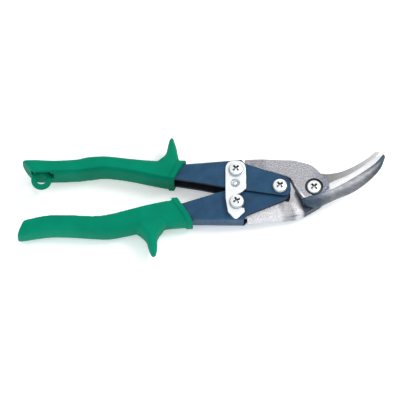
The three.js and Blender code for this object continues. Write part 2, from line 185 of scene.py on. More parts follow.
def combine(piece, others, operation="UNION"):
    """Joins others to piece, or cuts them out of it; the others are used up."""
    for other in others:
        change = piece.modifiers.new(operation, "BOOLEAN")
        change.operation = operation
        change.solver = "MANIFOLD"
        change.object = other
        bake(piece)
        bpy.data.objects.remove(other)
    return piece


def cut(piece, others):
    return combine(piece, others, "DIFFERENCE")


def prism(outline, back, front, name="prism"):
    shape = bmesh.new()
    floor = shape.faces.new([shape.verts.new((x, y, back)) for x, y in outline])
    sides = bmesh.ops.extrude_face_region(shape, geom=[floor])
    risen = [v for v in sides["geom"] if isinstance(v, bmesh.types.BMVert)]
    bmesh.ops.translate(shape, verts=risen, vec=(0, 0, front - back))
    return from_bmesh(name, shape)


def plate(outlines, back, front, rim, name="plate", rim_steps=2):
    """A flat plate with holes, whose rims are all rounded to the radius rim."""
    curve = bpy.data.curves.new(name, "CURVE")
    curve.dimensions = "2D"
    curve.fill_mode = "BOTH"
    for outline in outlines:
        loop = curve.splines.new("POLY")
        loop.points.add(len(outline) - 1)
        for point, (x, y) in zip(loop.points, outline):
            point.co = (x, y, 0, 1)
        loop.use_cyclic_u = True
    curve.extrude = (front - back) / 2 - rim
    curve.bevel_depth = rim
    curve.bevel_resolution = rim_steps
    curve.offset = -rim
    sketch = new_object(name + "_sketch", curve)
    graph = bpy.context.evaluated_depsgraph_get()
    mesh = bpy.data.meshes.new_from_object(sketch.evaluated_get(graph))
    bpy.data.objects.remove(sketch)
    mesh.transform(Matrix.Translation((0, 0, (front + back) / 2)))
    mesh.materials.clear()
    return weld(new_object(name, mesh))


def skin(rings, name="skin"):
    """A closed solid through rings of points, with its two ends filled in."""
    shape = bmesh.new()
    rows = [[shape.verts.new(p) for p in ring] for ring in rings]
    count = len(rows[0])
    for low, high in zip(rows, rows[1:]):
        for k in range(count):
            shape.faces.new((low[k], low[(k + 1) % count], high[(k + 1) % count], high[k]))
    shape.faces.new(rows[0])
    shape.faces.new(rows[-1])
    return from_bmesh(name, shape)


def turned(centre, profile, count=64, name="turned"):
    """A solid of revolution from (radius, level) points; it closes on its axis or on itself."""
    shape = bmesh.new()
    rings = []
    for radius, level in profile:
        if radius < 1e-6:
            rings.append([shape.verts.new((centre[0], centre[1], level))])
        else:
            rings.append([shape.verts.new((x, y, level)) for x, y in circle(centre, radius, count)])
    pairs = list(zip(rings, rings[1:]))
    if len(rings[0]) > 1:
        pairs.append((rings[-1], rings[0]))
    for low, high in pairs:
        for k in range(count):
            corners = [low[k % len(low)], low[(k + 1) % len(low)],
                       high[(k + 1) % len(high)], high[k % len(high)]]
            unique = list(dict.fromkeys(corners))
            if len(unique) > 2:
                shape.faces.new(unique)
    return from_bmesh(name, shape)


def tube(path, radius, sides=14, name="tube"):
    """A round wire along path, with domed ends."""
    points = [Vector(p) for p in path]
    count = len(points)
    loops = []

    def add_loops(i, steps):
        """Adds loops round point i; steps are (width, way along the path), in parts of the radius."""
        along = (points[min(i + 1, count - 1)] - points[max(i - 1, 0)]).normalized()
        across = along.cross(Vector((0, 0, 1))).normalized()
        lift = across.cross(along)
        for width, way in steps:
            centre = points[i] + along * radius * way
            angles = [2 * math.pi * k / sides for k in range(sides)]
            loops.append([centre + radius * width * (across * math.cos(a) + lift * math.sin(a))
                          for a in angles])

    dome = [(0.95, 0.3), (0.75, 0.65), (0.4, 0.9)]
    add_loops(0, [(width, -way) for width, way in dome[::-1]])
    for i in range(count):
        add_loops(i, [(1, 0)])
    add_loops(count - 1, dome)
    return skin(loops, name)


def remesh(piece, voxel, smoothing, strength=0.5):
    """Turns a piece into one even skin, and softens its edges."""
    change = piece.modifiers.new("skin", "REMESH")
    change.mode = "VOXEL"
    change.voxel_size = voxel
    change = piece.modifiers.new("soften", "SMOOTH")
    change.factor = strength
    change.iterations = smoothing
    return bake(piece)


def join(pieces):
    """One object holding several overlapping solids, ready to be remeshed."""
    shape = bmesh.new()
    for piece in pieces:
        shape.from_mesh(piece.data)
    name = pieces[0].name
    for piece in pieces:
        bpy.data.objects.remove(piece)
    mesh = bpy.data.meshes.new(name)
    shape.to_mesh(mesh)
    shape.free()
    return new_object(name, mesh)


# ---- materials ----

def noise(nodes, links, coords, scale, detail=4.0, stretch=None):
    """A noise field, one unit of it about 1/scale metres; stretch pulls it along an axis."""
    if stretch:
        mapping = nodes.new("ShaderNodeMapping")
        mapping.inputs["Scale"].default_value = stretch
        links.new(coords, mapping.inputs["Vector"])
        coords = mapping.outputs["Vector"]
    field = nodes.new("ShaderNodeTexNoise")
    field.inputs["Scale"].default_value = scale
    field.inputs["Detail"].default_value = detail
    links.new(coords, field.inputs["Vector"])
    return field.outputs["Fac"]


def ramp(nodes, links, factor, stops):
    """Colours by value; stops are (position, colour)."""
    band = nodes.new("ShaderNodeValToRGB")
    elements = band.color_ramp.elements
    while len(elements) < len(stops):
        elements.new(0.5)
    for element, (position, colour) in zip(elements, stops):
        element.position = position
        element.color = (*colour, 1)
    links.new(factor, band.inputs["Fac"])
    return band.outputs["Color"]


def grey(value):
    return (value, value, value)


def shade_along(nodes, links, coords, colour, stops, slant=0.0):
    """Paints light and shade into a colour: multiplies it by tones that change along X; stops are (mm
    from the main pivot, tone).

    slant leans the bands, by this much X for each Y.
    """
    start, end = stops[0][0], stops[-1][0]
    reach = nodes.new("ShaderNodeVectorMath")
    reach.operation = "DOT_PRODUCT"
    reach.inputs[1].default_value = (1, slant, 0)
    links.new(coords, reach.inputs[0])
    origin = ORIGIN.x + slant * ORIGIN.y
    place = nodes.new("ShaderNodeMapRange")
    place.inputs["From Min"].default_value = origin + start * MM
    place.inputs["From Max"].default_value = origin + end * MM
    links.new(reach.outputs["Value"], place.inputs["Value"])
    tone = ramp(nodes, links, place.outputs["Result"],
                [((x - start) / (end - start), value) for x, value in stops])
    product = nodes.new("ShaderNodeVectorMath")
    product.operation = "MULTIPLY"
    links.new(colour, product.inputs[0])
    links.new(tone, product.inputs[1])
    return product.outputs["Vector"]


def surface(name, tones, rough, bumps, metallic=0.0, tone_scale=300, tone_stretch=None, rough_scale=700,
            rough_stretch=None, specular=0.5, along=None, slant=0.0):
    """A procedural finish.

    tones are the colour stops over a noise field; rough is the lowest and highest roughness;
    bumps are (scale, height in mm, stretch) of the noises that shape the surface; along and slant are
    the stops and slant of shade_along, which paints light and shade along X.
    """
    material = bpy.data.materials.new(name)
    material.use_nodes = True
    nodes, links = material.node_tree.nodes, material.node_tree.links
    shader = nodes["Principled BSDF"]
    coords = nodes.new("ShaderNodeTexCoord").outputs["Object"]
    field = noise(nodes, links, coords, tone_scale, stretch=tone_stretch)
    colour = ramp(nodes, links, field, tones)
    if along:
        colour = shade_along(nodes, links, coords, colour, along, slant)
    links.new(colour, shader.inputs["Base Color"])
    field = noise(nodes, links, coords, rough_scale, stretch=rough_stretch)
    links.new(ramp(nodes, links, field, [(0.3, grey(rough[0])), (0.7, grey(rough[1]))]),
              shader.inputs["Roughness"])
    normal = None
    for scale, height, stretch in bumps:
        bump = nodes.new("ShaderNodeBump")
        bump.inputs["Strength"].default_value = 1.0
        bump.inputs["Distance"].default_value = height * MM
        links.new(noise(nodes, links, coords, scale, 3.0, stretch), bump.inputs["Height"])
        if normal:
            links.new(normal, bump.inputs["Normal"])
        normal = bump.outputs["Normal"]
    if normal:
        links.new(normal, shader.inputs["Normal"])
    shader.inputs["Metallic"].default_value = metallic
    shader.inputs["Specular IOR Level"].default_value = specular
    return material


vinyl = surface(
    "green_vinyl",
    [(0.3, (0.0, 0.172, 0.096)), (0.55, (0.0, 0.205, 0.115)), (0.75, (0.0, 0.238, 0.134))],
    rough=(0.50, 0.62), tone_scale=45, rough_scale=900, specular=0.04,
    bumps=[(2600, 0.02, None), (180, 0.06, None)])
paint = surface(
    "blue_paint",
    [(0.3, (0.004, 0.040, 0.095)), (0.6, (0.008, 0.056, 0.122)), (0.8, (0.018, 0.074, 0.150))],
    rough=(0.36, 0.50), tone_scale=160, rough_scale=420, specular=0.30,
    bumps=[(1500, 0.012, None), (260, 0.03, None)])
FORGED = {
    "tones": [(0.32, (0.20, 0.20, 0.23)), (0.5, (0.36, 0.355, 0.385)), (0.68, (0.54, 0.53, 0.56))],
    "rough": (0.42, 0.60), "metallic": 0.70, "tone_scale": 1300, "rough_scale": 900,
    "bumps": [(2400, 0.05, None), (520, 0.08, None)]}
# The front blade's forged finish; its along stops paint shade, darker and bluer from the pivot toward
# the jaw's root.
front_forged_with_shade = surface(
    "forged_steel", **FORGED,
    along=[(-50, grey(1.0)), (-2, grey(1.0)), (5, (0.64, 0.69, 0.75)), (12, (0.46, 0.53, 0.62))])
# A lighter copy of the forged finish for the rear blade, as painted light; its along stops paint shade
# in bands where the tang dips, and near-black painted shade from its drop on under the front blade.
rear_forged_painted_light = surface(
    "forged_steel_rear_painted_light", **{**FORGED, "tones": [(0.32, (0.42, 0.42, 0.44)), (0.5, (0.62, 0.61, 0.64)),
                                                (0.68, (0.80, 0.79, 0.81))]},
    along=[(-60, grey(1.0)), (-28.5, grey(1.0)), (-25.5, grey(0.58)), (-19.5, grey(0.46)),
           (-17, grey(0.95)), (-14, grey(0.95)), (-11.5, (0.08, 0.10, 0.13)), (10, (0.08, 0.10, 0.13))],
    slant=0.36)
GROUND = {
    "tones": [(0.3, (0.74, 0.74, 0.76)), (0.7, (0.92, 0.92, 0.93))],
    "rough": (0.28, 0.44), "metallic": 0.85, "tone_scale": 900, "tone_stretch": (3.0, 0.35, 1.0),
    "rough_scale": 1500, "rough_stretch": (3.0, 0.3, 1.0), "bumps": [(2400, 0.016, (2.5, 0.25, 1.0))]}
ground = surface("ground_steel", **GROUND)
# The rear jaw's ground finish, with painted shade that darkens it toward its root.
rear_ground_with_shade = surface(
    "ground_steel_rear_painted_shade", **GROUND,
    along=[(8, grey(0.28)), (22, grey(0.42)), (34, grey(0.56)), (44, grey(0.74))])
# The jaws' oxide finish; its along stops paint shade, darker and bluer at the root and the tip, and dim
# the slope's reflection toward the tip.
jaw_oxide_and_shade = surface(
    "oxide_steel_painted_shade", [(0.3, (0.24, 0.25, 0.27)), (0.7, (0.36, 0.37, 0.40))],
    rough=(0.40, 0.54), metallic=0.85, tone_scale=420, tone_stretch=(0.5, 1.5, 1.0), rough_scale=600,
    bumps=[(2000, 0.02, None), (350, 0.05, None)],
    along=[(-6, (0.16, 0.22, 0.30)), (3, (0.24, 0.31, 0.38)), (12, grey(0.80)), (20, grey(0.72)),
           (30, grey(0.70)), (38, grey(0.48)), (44, (0.20, 0.28, 0.34))])
zinc = surface(
    "zinc_plate", [(0.3, (0.85, 0.875, 0.885)), (0.7, (0.91, 0.93, 0.94))],
    rough=(0.28, 0.38), metallic=0.80, tone_scale=420, rough_scale=900,
    bumps=[(1800, 0.004, None), (300, 0.018, None)])
# Near-black painted shade for the inside of the handle channels and the cut edges of their sheets.
channel_painted_shade = surface(
    "channel_shadow_paint", [(0.3, (0.006, 0.008, 0.014)), (0.7, (0.016, 0.020, 0.032))],
    rough=(0.45, 0.60), tone_scale=300, specular=0.25, bumps=[(900, 0.02, None)])
# Darker zinc as painted shade, in the latch's dimple moat and on the rim sides of the screw heads.
zinc_painted_shade = surface(
    "zinc_plate_painted_shade", [(0.3, (0.42, 0.44, 0.45)), (0.7, (0.54, 0.56, 0.57))],
    rough=(0.34, 0.48), metallic=0.80, tone_scale=700, bumps=[(1800, 0.010, None)])
# Near-black painted shade for the screws' cross recesses and the main pivot's counterbore.
painted_recess_shade = surface(
    "recess_painted_shade", [(0.3, (0.02, 0.03, 0.035)), (0.7, (0.10, 0.13, 0.14))],
    rough=(0.35, 0.55), metallic=0.6, tone_scale=1500, bumps=[(1800, 0.02, None)])
spring_steel = surface(
    "spring_steel", [(0.3, (0.16, 0.16, 0.17)), (0.7, (0.32, 0.32, 0.33))],
    rough=(0.28, 0.42), metallic=0.9, tone_scale=900, bumps=[(1500, 0.01, None)])


# ---- finishing a piece ----

def finish(piece, name, body, replaced, materials, sharp=38, choose=None, weighted=True):
    """Shades a finished mesh, moves it into the row frame, and hangs it on its CAD body."""
    mesh = piece.data
    mesh.materials.clear()
    for material in materials:
        mesh.materials.append(material)
    if choose:
        for face in mesh.polygons:
            face.material_index = choose(face)
    mesh.shade_smooth()
    mesh.set_sharp_from_angle(angle=math.radians(sharp))
    if weighted:
        change = piece.modifiers.new("normals", "WEIGHTED_NORMAL")
        change.keep_sharp = True
        bake(piece)
    piece.data.transform(TO_ROW)
    piece.name = name
    piece.data.name = name
    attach(piece, body)
    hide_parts(*replaced)
    return piece


# ---- handles ----

# web is the folded outer edge of the channel, ear the outline round the handle pivot, and rim the
# channel's open edge under the grip.
upper_handle = {
    "back": 0.0,
    "link": UPPER_LINK,
    "web": [(-163, 16.3), (-154, 17.2), (-144, 18.9), (-133, 19.4), (-120, 18), (-105, 16.7),
            (-82, 16.3)],
    "web_end": (-46.9, 19.4),
    "ear": [(-44.6, 15.9, 1), (-15.5, 5.6, 7.5), (-14.6, -7.6, 7.5), (-57.5, -0.9, 10),
            (-73.2, 2.4, 10)],
    "rim": [(-90, 5.2), (-105, 8), (-120, 10.9), (-133, 13), (-144, 11.7), (-154, 10.9), (-163, 10.5)],
}
lower_handle = {
    "back": LOWER_BACK,
    "link": LOWER_LINK,
    "web": [(-172, -28.9), (-154, -28.8), (-141, -29.7), (-131, -30), (-120, -28.2), (-108, -25.7),
            (-82, -22)],
    "web_end": (-45.2, -22.4),
    "ear": [(-43.4, -19.7, 1), (-17, -8.2, 7), (-13.8, 5.4, 7.5), (-44, 1.4, 10), (-62, -3.9, 10)],
    "rim": [(-84, -11.2), (-96, -13.4), (-108, -16), (-120, -19.2), (-131, -22.2), (-141, -23.6),
            (-172, -22.8)],
}
FOLD_RADIUS = 2.5
SHEET_RIM = 0.25


def long_edges(handle, grow=0.0):
    """The web and the rim of a handle where its grip covers it, moved outwards by grow."""
    outward = math.copysign(1, handle["web_end"][1])
    web = [Vector((x, y + outward * grow)) for x, y in handle["web"]]
    rim = [Vector((x, y - outward * grow)) for x, y in handle["rim"]]
    web[0].x -= grow
    rim[-1].x -= grow
    return smooth_line(web, 28), smooth_line(rim, 28)


def fold(piece, edge_points, radius, steps=6):
    """Rounds the rims of a prism along the given stretch of its outline."""
    wanted = {(round(x, 3), round(y, 3)) for x, y in edge_points}
    shape = bmesh.new()
    shape.from_mesh(piece.data)

    def on_edge(vertex):
        return (round(vertex.co.x, 3), round(vertex.co.y, 3)) in wanted

    edges = [e for e in shape.edges
             if all(on_edge(v) for v in e.verts) and abs(e.verts[0].co.z - e.verts[1].co.z) < 1e-4]
    bmesh.ops.bevel(shape, geom=edges, offset=radius, segments=steps, profile=0.5, affect="EDGES")
    shape.to_mesh(piece.data)
    shape.free()
    return piece


def soften_edges(piece, width, steps=2, angle=40):
    change = piece.modifiers.new("rims", "BEVEL")
    change.width = width
    change.segments = steps
    change.limit_method = "ANGLE"
    change.angle_limit = math.radians(angle)
    change.use_clamp_overlap = True
    return bake(piece)


def make_handle(name, handle, body, pivot_hole):
    outward = math.copysign(1, handle["web_end"][1])
    back, front = handle["back"], handle["back"] + CHANNEL
    web, rim = long_edges(handle)
    end = handle["web_end"]
    outer = prism(rounded([*web, end, *handle["ear"], *rim]), back, front)
    fold(outer, [*web, end], FOLD_RADIUS)
    inner_edge = [(x, y - outward * SHEET) for x, y in [*web, end]]
    beyond = outward * 60
    grip_end = web[0][0] - 2
    hollow = prism([(grip_end, inner_edge[0][1]), *inner_edge, (end[0], beyond), (0, beyond),
                    (0, -beyond), (grip_end, -beyond)], back + SHEET, front - SHEET)
    fold(hollow, inner_edge, FOLD_RADIUS - SHEET, 3)
    holes = [prism(circle(handle["link"], LINK_BORE), back - 1, front + 1),
             prism(circle(HANDLE_PIVOT, pivot_hole), back - 1, front + 1)]
    cut(outer, [hollow, *holes])
    soften_edges(outer, SHEET_RIM)
    middle = (back + front) / 2

    def inside_or_edge(face):
        """Whether a face is inside the channel or on a cut edge of its sheet, which get a near-black
        painted shade.
        """
        outer_side = (face.center.z - middle) * face.normal.z > 0.5
        web_side = outward * face.normal.y > 0.3 and face.center.x < end[0] + 0.3
        return not (outer_side and abs(face.center.z - middle) > CHANNEL / 2 - 0.6 or web_side)

    return finish(outer, name + "_steel", body, [name], [paint, channel_painted_shade],
                  choose=inside_or_edge)


make_handle("upper_handle", upper_handle, UPPER_HANDLE, 2.8)
make_handle("lower_handle", lower_handle, LOWER_HANDLE, 3.2)


# ---- grips ----

# Sections run from the crease on the inner side to the crown on the palm side. horn lists
# (x, y, half its length, half its depth, sharpness of its ridge) from its root to its tip.
upper_grip = {
    "middle": CHANNEL / 2,
    "inner": [(-180.6, 9.8), (-179.8, 9.2), (-175, 9.4), (-166, 9.9), (-152, 10.5), (-144, 11.5),
              (-133.6, 12.5), (-119.7, 10.7), (-105, 7.5), (-94.8, 5.4), (-89.6, 4.8)],
    "crown": [(-187.0, 17.0), (-187.4, 19.0), (-181, 19.3), (-167, 18.6), (-153, 19.4), (-145, 21.2),
              (-133.6, 21.7), (-120, 20.2), (-104, 18.8), (-90, 18.5), (-82, 18)],
    "horn": [(-96, 11, 12, 8.8, 0.6), (-93.6, 17.6, 7.8, 9.5, 0.7), (-92.1, 20.8, 5.2, 9.2, 0.7),
             (-91.4, 24, 3.9, 8.5, 0.75), (-91.3, 28.5, 3.1, 7.3, 0.95), (-91.5, 33.2, 2.0, 5.4, 1.1),
             (-91.4, 35.8, 1.2, 3.2, 1.1), (-91.4, 36.4, 0.5, 1.3, 1)],
    "collar": [((-93.2, 4.9), (-85.6, 19.0)), ((-89.6, 4.6), (-82, 18.8))],
}
lower_grip = {
    "middle": LOWER_BACK + CHANNEL / 2,
    "inner": [(-186.4, -26.2), (-185.6, -24.4), (-177, -22.7), (-167.6, -21.5), (-154.4, -21.6),
              (-141, -22.2), (-131.2, -20.9), (-119.7, -17.8), (-108.4, -14.6), (-97, -12),
              (-87.7, -10.2)],
    "crown": [(-189.2, -31.2), (-189.0, -33.8), (-179, -32.1), (-168, -30.6), (-154.4, -30.9),
              (-141, -31.9), (-131.2, -32.2), (-120.5, -30.3), (-109, -27.6), (-93, -25.2),
              (-77.5, -24.1)],
    "horn": [(-105, -18, 14, 8.8, 0.6), (-106, -26.5, 9.8, 9.5, 0.7), (-105.3, -29.6, 6.8, 9.4, 0.7),
             (-104.6, -32.3, 4.7, 8.9, 0.75), (-103.9, -35.6, 3.4, 8.0, 0.85),
             (-103.4, -39.6, 3.0, 6.6, 1), (-103, -43.2, 2.2, 4.7, 1.1), (-102.9, -45.3, 1.4, 2.9, 1.1),
             (-102.9, -45.9, 0.5, 1.2, 1)],
    "collar": [((-91.3, -10.0), (-80.9, -25.0)), ((-87.3, -9.6), (-77.4, -24.8))],
}
GRIP_HALF_WIDTH = 9.6
COLLAR_HALF_WIDTH = 10.35
GRIP_RINGS, HORN_RINGS = 110, 40
ROUGH_VOXEL, FINE_VOXEL = 0.5, 0.36
INNER_BULGE = 1.6
GROOVE_PLACE, GROOVE_WIDTH, GROOVE_DEPTH = 7.9, 0.9, 1.3    # the inner side dips behind each lip
EYE = Vector((-175.3, 6.9))
EYE_BACK, EYE_FRONT = 4.9, 7.7


def grip_ring(low, high, half_width, middle, sides=72):
    """One section of a grip: flat sides, a round crown, and a nearly flat inner side."""
    low, across = Vector(low), Vector(high) - Vector(low)
    ring = []
    for k in range(sides):
        angle = 2 * math.pi * k / sides
        rise, side = math.sin(angle), math.cos(angle)
        reach = min(1, 1.08 * abs(side) ** (2 / 3))
        if rise > 0:
            height = rise ** (2 / 3)
        else:
            from_groove = (reach * half_width - GROOVE_PLACE) / GROOVE_WIDTH
            height = (rise * INNER_BULGE + GROOVE_DEPTH * math.exp(-from_groove ** 2)) / across.length
        point = low + across * height
        ring.append((point.x, point.y, middle + half_width * math.copysign(reach, side)))
    return ring


def grip_body(grip):
    """The grip's own swell and its thumb horn, grown together, with its collar on top."""
    stations = len(grip["inner"])
    widths = [(0, 6.5), (1, 8.6), (2, 9.4)] + [(i, GRIP_HALF_WIDTH) for i in range(3, stations - 1)]
    widths.append((stations - 1, GRIP_HALF_WIDTH - 0.25))
    rings = []
    for i in range(GRIP_RINGS + 1):
        t = i / GRIP_RINGS
        rings.append(grip_ring(spline(grip["inner"], t), spline(grip["crown"], t),
                               spline(widths, t)[1], grip["middle"]))
    swell = skin(rings, "swell")
    (low_a, high_a), (low_b, high_b) = [[Vector(p) for p in pair] for pair in grip["collar"]]
    rings = []
    for t, dip in [(0, 0.12), (0.08, 0), (0.92, 0), (1, 0.12)]:
        rings.append(grip_ring(low_a.lerp(low_b, t), high_a.lerp(high_b, t),
                               COLLAR_HALF_WIDTH - dip, grip["middle"]))
    collar = skin(rings, "collar")
    rings = []
    for i in range(HORN_RINGS + 1):
        x, y, length, depth, sharpness = spline(grip["horn"], i / HORN_RINGS)
        ring = []
        for k in range(48):
            angle = 2 * math.pi * k / 48
            side, rise = math.cos(angle), math.sin(angle)
            ring.append((x + length * math.copysign(abs(side) ** sharpness, side), y,
                         grip["middle"] + depth * math.copysign(abs(rise) ** sharpness, rise)))
        rings.append(ring)
    horn = skin(rings, "horn")
    return combine(remesh(join([swell, horn]), ROUGH_VOXEL, 9), [collar])


def steel_cavity(handle, cling=0.15):
    """The space of the handle's steel, run out past the collar."""
    web, rim = long_edges(handle, cling)
    past = 40
    outline = [*web, (web[-1][0] + past, web[-1][1]), (rim[0][0] + past, rim[0][1]), *rim]
    cavity = prism(outline, handle["back"] - cling, handle["back"] + CHANNEL + cling)
    return fold(cavity, [*web, outline[len(web)]], FOLD_RADIUS)


def hanging_eye():
    """A thin tab with a ring, moulded to the end of the upper grip."""
    tab = prism(rounded([(EYE.x - 4.2, 15.5), (EYE.x - 3.2, EYE.y + 5.2, 2), (EYE.x - 5.2, EYE.y + 3),
                         (EYE.x + 5.2, EYE.y + 3), (EYE.x + 3.2, EYE.y + 5.2, 2), (EYE.x + 4.2, 15.5)]),
                EYE_BACK, EYE_FRONT)
    bore, outer = 3.2, 6.6
    ring = turned(EYE, [
        (bore, EYE_BACK + 0.4), (bore + 0.3, EYE_BACK), (outer - 0.6, EYE_BACK), (outer, EYE_BACK + 0.6),
        (outer, EYE_FRONT - 0.6), (outer - 0.6, EYE_FRONT), (bore + 0.3, EYE_FRONT),
        (bore, EYE_FRONT - 0.4)])
    hole = prism(circle(EYE, bore + 0.2), EYE_BACK - 1, EYE_FRONT + 1)
    cut(tab, [hole])
    return combine(ring, [tab])


def block(low, high):
    (x0, y0, z0), (x1, y1, z1) = low, high
    return prism([(x0, y0), (x1, y0), (x1, y1), (x0, y1)], z0, z1)


def make_grip(name, grip, handle, body, extras=None):
    vinyl_piece = grip_body(grip)
    if extras:
        extras(vinyl_piece)
    cut(vinyl_piece, [steel_cavity(handle)])
    remesh(vinyl_piece, FINE_VOXEL, 3)
    return finish(vinyl_piece, name + "_vinyl", body, [name], [vinyl], sharp=80,
                  weighted=False)


def open_pocket(piece):
    """The eye stands in a pocket behind the grip's front lip, and the inner side is cut back flat."""
    cut(piece, [block((-179, -8, -8), (-169.4, 9.4, 22)),
                block((-181.6, -8, EYE_BACK + 1.2), (-167.2, 13.4, CHANNEL - 0.2))])
    combine(piece, [hanging_eye()])


make_grip("upper_grip", upper_grip, upper_handle, UPPER_HANDLE, open_pocket)
make_grip("lower_grip", lower_grip, lower_handle, LOWER_HANDLE)


# ---- blades ----

def forging(outline, back, front, rim, steps=4):
    """A block whose front rim is rounded."""
    piece = prism(outline, back, front, "forging")
    shape = bmesh.new()
    shape.from_mesh(piece.data)
    edges = [e for e in shape.edges if all(abs(v.co.z - front) < 1e-4 for v in e.verts)]
    bmesh.ops.bevel(shape, geom=edges, offset=rim, segments=steps, profile=0.5, affect="EDGES")
    shape.to_mesh(piece.data)
    shape.free()
    return weld(piece, 0.005)


def ramp_block(section, low_y, high_y):
    """A block with the same (x, z) section all along Y."""
    shape = bmesh.new()
    face = shape.faces.new([shape.verts.new((x, low_y, z)) for x, z in section])
    sides = bmesh.ops.extrude_face_region(shape, geom=[face])
    risen = [v for v in sides["geom"] if isinstance(v, bmesh.types.BMVert)]
    bmesh.ops.translate(shape, verts=risen, vec=(0, high_y - low_y, 0))
    return from_bmesh("ramp", shape)


JAW_STEPS = 80
STRIP, SLOPE, SHEAR = "strip", "slope", "shear"
COUNTERBORE_RADIUS = 5.9


def make_jaw(edge, ridge, outer, swell, heel):
    """A jaw between its cutting edge, its ridge and its outer edge; returns it and what its faces are.

    swell is how far the outer slope stands proud of straight, at the root and further out, and heel is
    the thickness of the outer edge.
    """
    rings = []
    kinds = [STRIP] * 4 + [SLOPE] * 10 + [SHEAR] * 3
    for i in range(JAW_STEPS + 1):
        t = i / JAW_STEPS
        e, r, o = (Vector(spline(line, t)) for line in (edge, ridge, outer))
        side = math.copysign(1, r.z - e.z) if abs(r.z - e.z) > 0.1 else -1
        top = o + Vector((0, 0, side * heel * (1 - 0.5 * t)))
        along = Vector(spline(ridge, min(t + 0.02, 1))) - Vector(spline(ridge, max(t - 0.02, 0)))
        proud = (top - r).cross(along).normalized()
        bulge = swell[0] + (swell[1] - swell[0]) * min(1, 3 * t)
        if proud.z * side < 0:
            proud.negate()
        ring = [e, e.lerp(r, 0.35), e.lerp(r, 0.7), e.lerp(r, 0.93), r.lerp((e + top) / 2, 0.02)]
        for f in (0.07, 0.2, 0.35, 0.5, 0.65, 0.8, 0.92):
            ring.append(r.lerp(top, f) + proud * bulge * math.sin(math.pi * f))
        ring += [top, o + Vector((0, 0, side * 0.25)), o.lerp(e, 0.04), o.lerp(e, 0.4), o.lerp(e, 0.75)]
        rings.append(ring)
    middle = sum(rings[0], Vector()) / len(rings[0])
    root = rings[0]
    for back, scale in [(1.0, 0.88), (1.9, 0.62)]:
        rings.insert(0, [middle + (p - middle) * scale - Vector((back, 0, 0)) for p in root])
    return skin(rings, "jaw"), kinds


def jaw_kinds(jaw, kinds, reach=0.06):
    """Tells which part of the jaw a point of the finished blade lies on, if any."""
    shape = bmesh.new()
    shape.from_mesh(jaw.data)
    tree = BVHTree.FromBMesh(shape)
    shape.free()

    def kind_at(point):
        _, _, index, distance = tree.find_nearest(point)
        return kinds[index % len(kinds)] if distance is not None and distance < reach else None

    return kind_at


def blade_holes(link, back, front):
    return [prism(circle(link, LINK_BORE), TANG_BACK - 1, TANG_FRONT + 1),
            prism(circle(MAIN_PIVOT, MAIN_BORE), back - 1, front + 1)]


def chamfer(piece, start, end, level, width):
    """Cuts a 45-degree chamfer along one straight edge of a forging; returns its facing direction."""
    along = (end - start).normalized()
    out = Vector((along.y, -along.x))
    rings = []
    for place in (start - 3 * along, end + 1.5 * along):
        rings.append([(*(place + out * s), level + z)
                      for s, z in [(2, -width - 2), (2, 2), (-width - 2, 2)]])
    cut(piece, [skin(rings, "wedge")])
    return Vector((out.x, out.y, 1)).normalized()


def front_blade():
    body = forging(rounded([
        (-31.5, 11.8, 1), (-31.5, 19.4, 1), (-13, 18.9, 12), (-1, 15.6, 12), (7.2, 6.4, 2),
        (10.2, 3.4, 3), (6.4, -4, 3), (0.3, -5, 8), (-6.2, -8.2, 1), (-12.4, 0.2, 4), (-15.2, 6.2, 4)]),
        SHEAR_FRONT, BLADE_FRONT, 0.8)
    chamfer_facing = chamfer(body, Vector((-12.4, 0.2)), Vector((-6.2, -8.2)), BLADE_FRONT, 0.9)
    tang = forging(rounded([
        (-56.5, 4.2, 6.1), (-56.5, 16.6, 6.1), (-44.5, 16.5, 0.4), (-44.4, 20.8, 1), (-17, 19.2, 1),
        (-15.4, 8.8, 2), (-27, 6.6, 20), (-40, 4.7, 20)]), TANG_BACK, TANG_FRONT, 0.5)
    rise = ramp_block([(-44.2, 6), (-44.2, 8.0), (-41, 9.0), (-34, 10.9), (-29.5, BLADE_FRONT - 0.05),
                       (-28, BLADE_FRONT - 0.05), (-28, 6)], 0, 30)
    rise_outline = rounded([(-44.2, 16.4, 0.5), (-44.2, 20.6, 1), (-28, 19.1, 0.5), (-28, 10.7, 0.5)])
    combine(rise, [prism(rise_outline, 5.5, 12)], "INTERSECT")
    jaw, kinds = make_jaw(
        [(-7, 0, SHEAR_FRONT), (4, 2.5, SHEAR_FRONT), (13.2, 6.9, SHEAR_FRONT), (22, 11, SHEAR_FRONT),
         (31, 16.8, SHEAR_FRONT), (38.6, 22.8, SHEAR_FRONT), (44.4, 26.6, SHEAR_FRONT)],
        [(-6.3, -7.6, 11.3), (1.5, -5, 11.2), (11, -1.6, 10.5), (21, 4.2, 9.9), (31, 11.1, 9.2),
         (39.4, 17.9, 8.3), (45.2, 25.3, 6.8)],
        [(-4.5, -12.2, SHEAR_FRONT), (3, -11.9, SHEAR_FRONT), (14.1, -6.6, SHEAR_FRONT),
         (25.3, -1.4, SHEAR_FRONT), (35.4, 6.3, SHEAR_FRONT), (43.0, 15.0, SHEAR_FRONT),
         (46.3, 23.0, SHEAR_FRONT)], swell=(1.6, 0.9), heel=1.2)
    kind_at = jaw_kinds(jaw, kinds)
    combine(body, [tang, rise, jaw])
    counterbore = prism(circle(MAIN_PIVOT, COUNTERBORE_RADIUS), BLADE_FRONT - 1.9, BLADE_FRONT + 1)
    cut(body, [*blade_holes(UPPER_LINK, 0, BLADE_FRONT), counterbore])
    looks = {STRIP: 1, SLOPE: 2, SHEAR: 1, None: 0}

    def look_of(face):
        kind = kind_at(face.center)
        if kind is None and face.normal.dot(chamfer_facing) > 0.99 and face.center.x < -4:
            return 1
        # The counterbore's walls and floor get near-black painted shade.
        if face.center.xy.length < COUNTERBORE_RADIUS + 0.05 and face.center.z < BLADE_FRONT - 0.05:
            return 3
        return looks[kind]

    finish(body, "front_blade_steel", FRONT_BLADE, ["front_blade"],
           [front_forged_with_shade, ground, jaw_oxide_and_shade, painted_recess_shade], choose=look_of)


